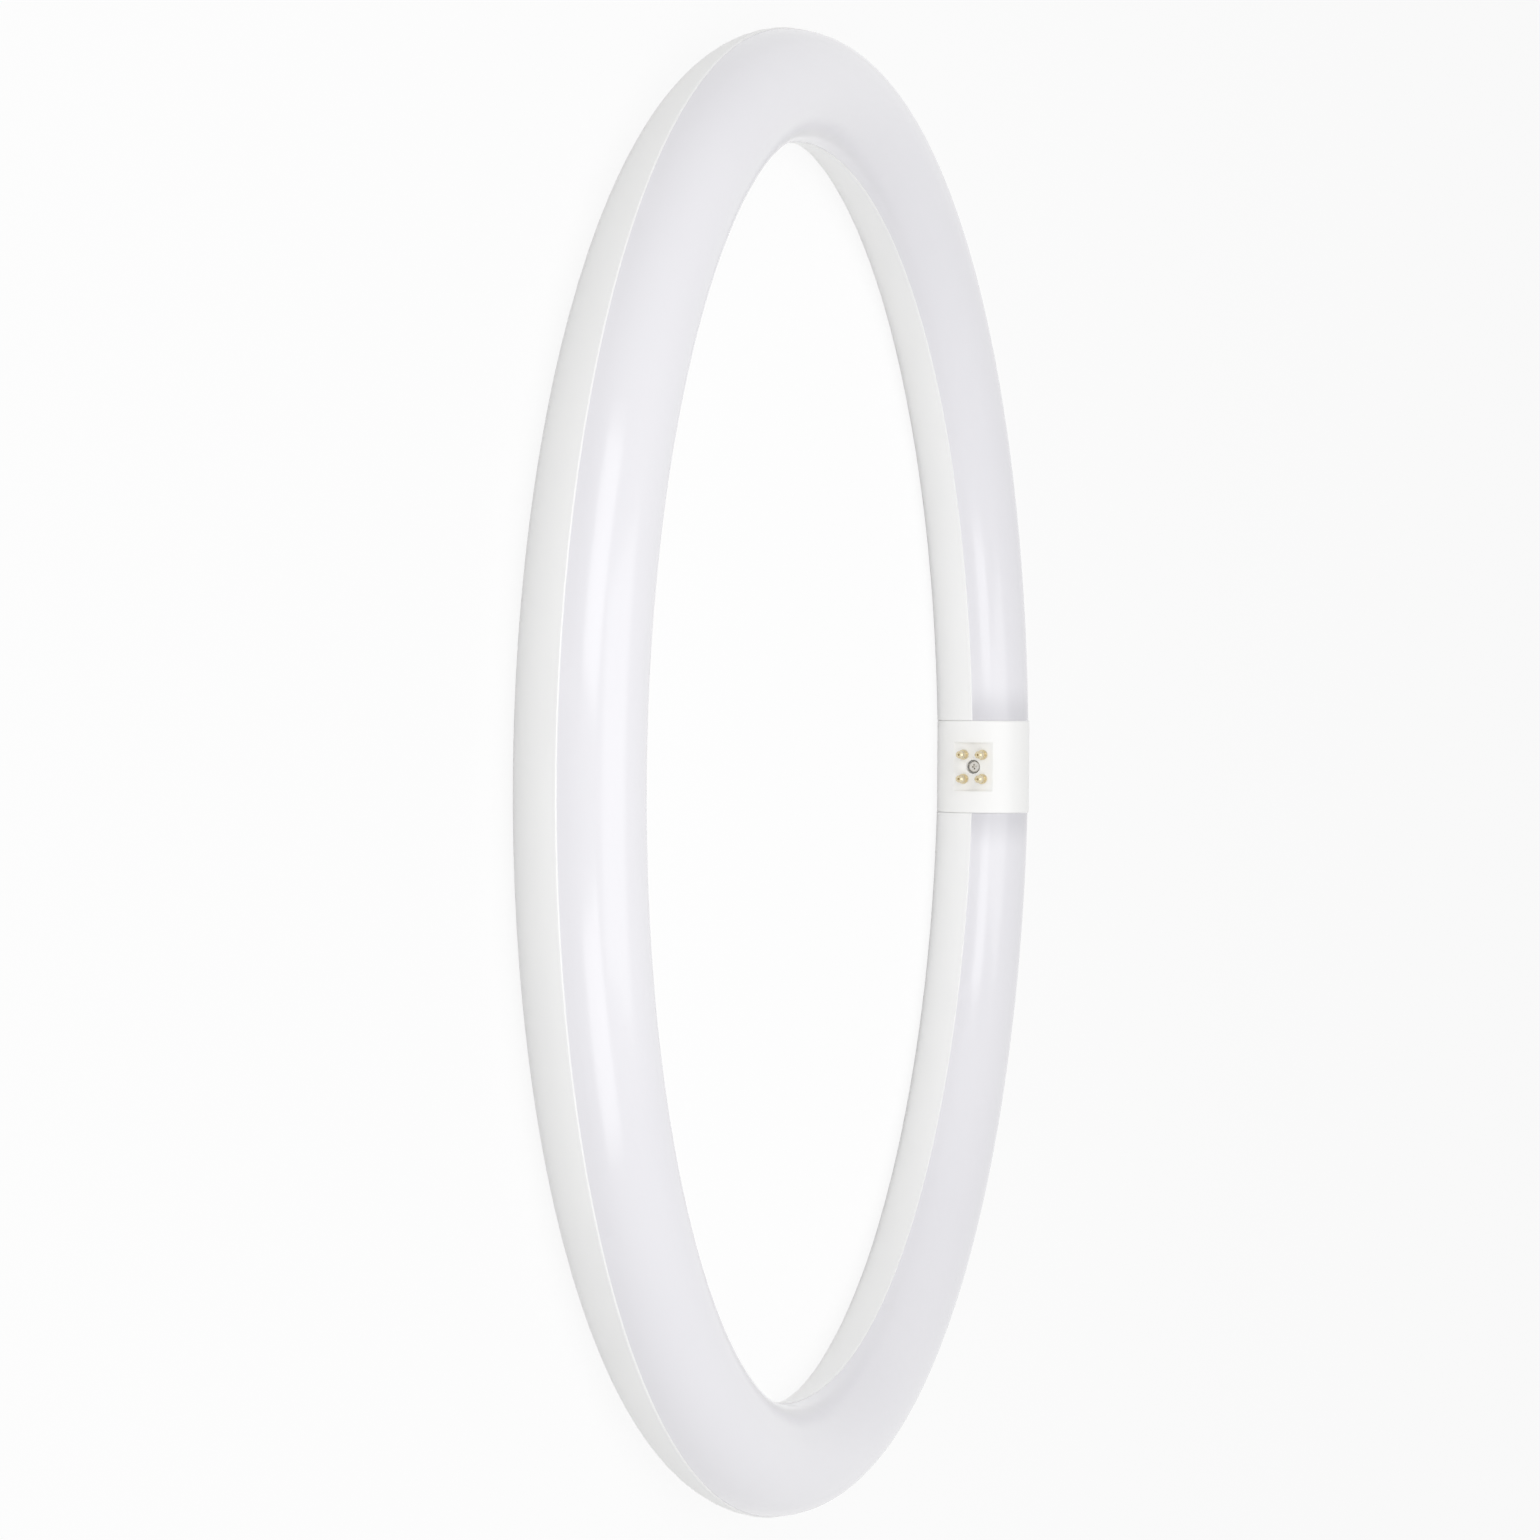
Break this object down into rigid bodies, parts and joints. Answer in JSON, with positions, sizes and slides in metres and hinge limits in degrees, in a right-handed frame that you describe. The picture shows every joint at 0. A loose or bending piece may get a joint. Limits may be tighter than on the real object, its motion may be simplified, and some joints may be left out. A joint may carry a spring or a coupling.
{
  "type": "circular led tube",
  "caption": "Ring-shaped LED tube: an opaque white rear half shell, an opal front half shell, and a white base cap with brass contact pins that point to the middle of the ring.",
  "frame": {"origin": "centre of the ring, on the plane that the lying ring rests on", "axes": "+Z along the ring's axis, out of the diffuser side; +X from the base cap across the ring, the way the contact pins point"},
  "size_m": [0.4056, 0.406, 0.0304],
  "materials": {
    "housing_plastic": "satin moulded white polycarbonate, opaque",
    "diffuser_plastic": "semi-gloss opal polycarbonate",
    "base_plastic": "satin moulded white polycarbonate, opaque",
    "screw_steel": "nickel-plated steel",
    "pin_brass": "bright turned brass",
    "led_board_metal": "white solder mask on a metal core",
    "led_package": "yellow phosphor in a white package",
    "connector_plastic": "white nylon",
    "circuit_board": "green solder mask on glass laminate",
    "fuse_coating": "green dipped coating",
    "varistor_coating": "blue dipped coating",
    "chip_resin": "black moulded resin",
    "film_capacitor_case": "yellow box case",
    "capacitor_sleeve": "black sleeve on an aluminium can",
    "ferrite": "dark grey ferrite with a wound coil",
    "lead_white": "white insulation",
    "lead_red": "red insulation",
    "lead_black": "black insulation"
  },
  "bodies": {
    "root": {"rear_housing": "housing_plastic", "diffuser": "diffuser_plastic", "base_inner_shell": "base_plastic", "base_outer_shell": "base_plastic", "base_screw": "screw_steel", "contact_pin_1": "pin_brass", "contact_pin_2": "pin_brass", "contact_pin_3": "pin_brass", "contact_pin_4": "pin_brass", "led_board_1": "led_board_metal", "led_board_2": "led_board_metal", "led_board_3": "led_board_metal", "led_board_4": "led_board_metal", "led_chips": "led_package", "board_connectors": "connector_plastic", "board_screws": "screw_steel", "driver_board": "circuit_board", "driver_screws": "screw_steel", "fuse": "fuse_coating", "varistor": "varistor_coating", "bridge_rectifier": "chip_resin", "film_capacitor": "film_capacitor_case", "driver_chip": "chip_resin", "bulk_capacitor": "capacitor_sleeve", "filter_coil": "ferrite", "power_inductor": "ferrite", "pin_lead_1": "lead_white", "pin_lead_2": "lead_white", "pin_lead_3": "lead_white", "pin_lead_4": "lead_white", "led_lead_plus": "lead_red", "led_lead_minus": "lead_black"}
  },
  "joints": []
}
